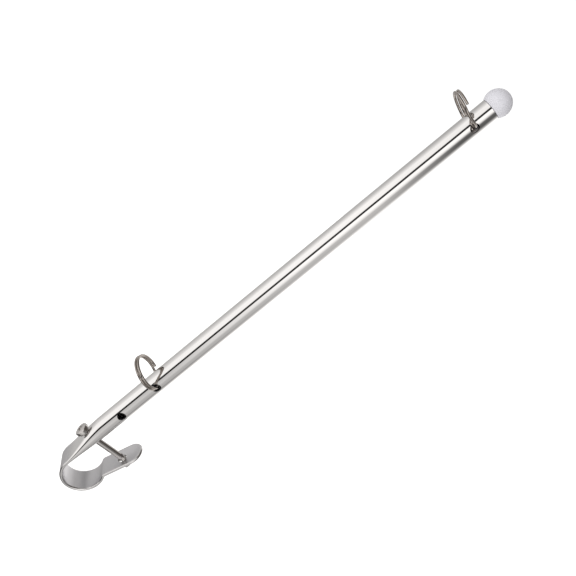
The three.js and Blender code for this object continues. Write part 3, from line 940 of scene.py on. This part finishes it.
def make_floor():
    """A plain pale table top well below the clamp."""
    radius = 6.0
    around = np.arange(64) * 2 * math.pi / 64
    rim = np.stack([radius * np.cos(around), radius * np.sin(around), np.full(64, FLOOR_Z)], -1)
    mesh = bpy.data.meshes.new("floor")
    mesh.from_pydata(rim.tolist(), [], [list(range(64))])
    paint = Finish("pale table")
    cloud = paint.grain((1.0, 1.0, 1.0), 2.0, 2.0)
    paint.link(paint.blend(cloud, (0.93, 0.93, 0.93), (0.96, 0.96, 0.96)), paint.shader.inputs["Base Color"])
    paint.shader.inputs["Roughness"].default_value = 0.9
    paint.shader.inputs["Emission Color"].default_value = (1.0, 1.0, 1.0, 1.0)
    paint.shader.inputs["Emission Strength"].default_value = 0.9
    mesh.materials.append(paint.material)
    floor = bpy.data.objects.new("floor", mesh)
    bpy.context.scene.collection.objects.link(floor)
    floor.visible_glossy = False


def make_sky():
    """Soft studio walls: a wide white wall to either side of a narrow dark gap that faces the
    staff, grey walls behind, a dark doorway to one side just above level, a dark ceiling and a
    dark floor. Only light and reflections see this room, and the camera sees plain white. Each
    band of walls is a ramp of brightness over the turn round the staff, and the bands are
    blended by height."""
    bands = [
        (-0.82, -0.68, [(-180, 0.10), (180, 0.10)]),
        (-0.40, -0.17, [
            (-180, 0.45), (-160, 0.52), (-130, 0.46), (-100, 0.60), (-80, 0.70), (-58, 0.95), (-18, 0.97),
            (-13, 0.02), (3, 0.02), (7, 0.55), (40, 0.60), (60, 0.46), (85, 0.42), (100, 0.26),
            (112, 0.40), (127, 0.75), (142, 1.05), (160, 1.05), (168, 0.45), (180, 0.40),
        ]),
        (-0.05, 0.08, [
            (-180, 0.42), (-140, 0.43), (-100, 0.57), (-80, 0.76), (-58, 1.0), (-18, 0.97),
            (-13, 0.02), (3, 0.02), (7, 1.1), (28, 1.05), (44, 0.82), (58, 0.52), (100, 0.46),
            (118, 0.58), (140, 0.92), (161, 1.08), (169, 0.50), (180, 0.45),
        ]),
        (0.25, 0.36, [
            (-180, 0.38), (-120, 0.43), (-100, 0.53), (-80, 0.68), (-58, 0.93), (-18, 0.90),
            (-13, 0.02), (3, 0.02), (7, 1.1), (30, 1.05), (44, 0.72), (54, 0.24), (64, 0.11),
            (90, 0.10), (102, 0.18), (120, 0.43), (140, 0.80), (165, 1.08), (180, 1.08),
        ]),
        (0.70, 0.78, [
            (-180, 0.80), (-140, 0.62), (-105, 0.22), (-45, 0.18), (-20, 0.75), (22, 0.75),
            (50, 0.16), (105, 0.18), (140, 0.66), (180, 0.80),
        ]),
    ]
    toward = (-0.4635, -0.8861, 0.0)  # from the staff to the gap
    aside = (0.8861, -0.4635, 0.0)
    world = bpy.data.worlds.new("studio")
    bpy.context.scene.world = world
    world.use_nodes = True
    nodes = world.node_tree.nodes
    links = world.node_tree.links
    place = nodes.new("ShaderNodeTexCoord").outputs["Generated"]
    shares = []
    for direction in (aside, toward):
        dot = nodes.new("ShaderNodeVectorMath")
        dot.operation = "DOT_PRODUCT"
        dot.inputs[1].default_value = direction
        links.new(place, dot.inputs[0])
        shares.append(dot.outputs["Value"])
    turn = nodes.new("ShaderNodeMath")
    turn.operation = "ARCTAN2"
    links.new(shares[0], turn.inputs[0])
    links.new(shares[1], turn.inputs[1])
    share = nodes.new("ShaderNodeMapRange")
    share.inputs["From Min"].default_value = -math.pi
    share.inputs["From Max"].default_value = math.pi
    links.new(turn.outputs["Value"], share.inputs["Value"])
    height = nodes.new("ShaderNodeSeparateXYZ")
    links.new(place, height.inputs[0])

    def mixed(factor, first, second):
        """A colour between two, each a colour or a node's output."""
        mix = nodes.new("ShaderNodeMix")
        mix.data_type = "RGBA"
        for source, socket in ((factor, mix.inputs[0]), (first, mix.inputs[6]), (second, mix.inputs[7])):
            if isinstance(source, tuple):
                socket.default_value = source
            else:
                links.new(source, socket)
        return mix.outputs[2]

    room = None
    for start, end, stops in bands:
        ramp = nodes.new("ShaderNodeValToRGB")
        links.new(share.outputs["Result"], ramp.inputs["Fac"])
        elements = ramp.color_ramp.elements
        elements.remove(elements[-1])
        for index, (degrees, value) in enumerate(stops):
            position = (degrees + 180) / 360
            element = elements[0] if index == 0 else elements.new(position)
            element.position = position
            element.color = (value, value * 0.982, value * 0.965, 1.0)
        room = ramp.outputs["Color"] if room is None else mixed(above, room, ramp.outputs["Color"])
        lift = nodes.new("ShaderNodeMapRange")
        lift.inputs["From Min"].default_value = start
        lift.inputs["From Max"].default_value = end
        links.new(height.outputs["Z"], lift.inputs["Value"])
        above = lift.outputs["Result"]
    room = mixed(above, room, (0.085, 0.075, 0.068, 1.0))
    path = nodes.new("ShaderNodeLightPath")
    seen = mixed(path.outputs["Is Camera Ray"], room, (1.0, 1.0, 1.0, 1.0))
    background = nodes["Background"]
    links.new(seen, background.inputs["Color"])
    background.inputs["Strength"].default_value = 1.06


def make_lamp(name, place, aim, size, power):
    """A square soft lamp that looks at a point."""
    lamp = bpy.data.lights.new(name, "AREA")
    lamp.size = size
    lamp.energy = power
    holder = bpy.data.objects.new(name, lamp)
    bpy.context.scene.collection.objects.link(holder)
    holder.visible_glossy = False
    holder.location = place
    holder.rotation_mode = "QUATERNION"
    holder.rotation_quaternion = (Vector(aim) - Vector(place)).to_track_quat("-Z", "Y")


make_floor()
make_sky()
make_lamp("soft key", (-0.9, -0.6, 1.3), (0, 0, 0.15), 0.9, 9.0)
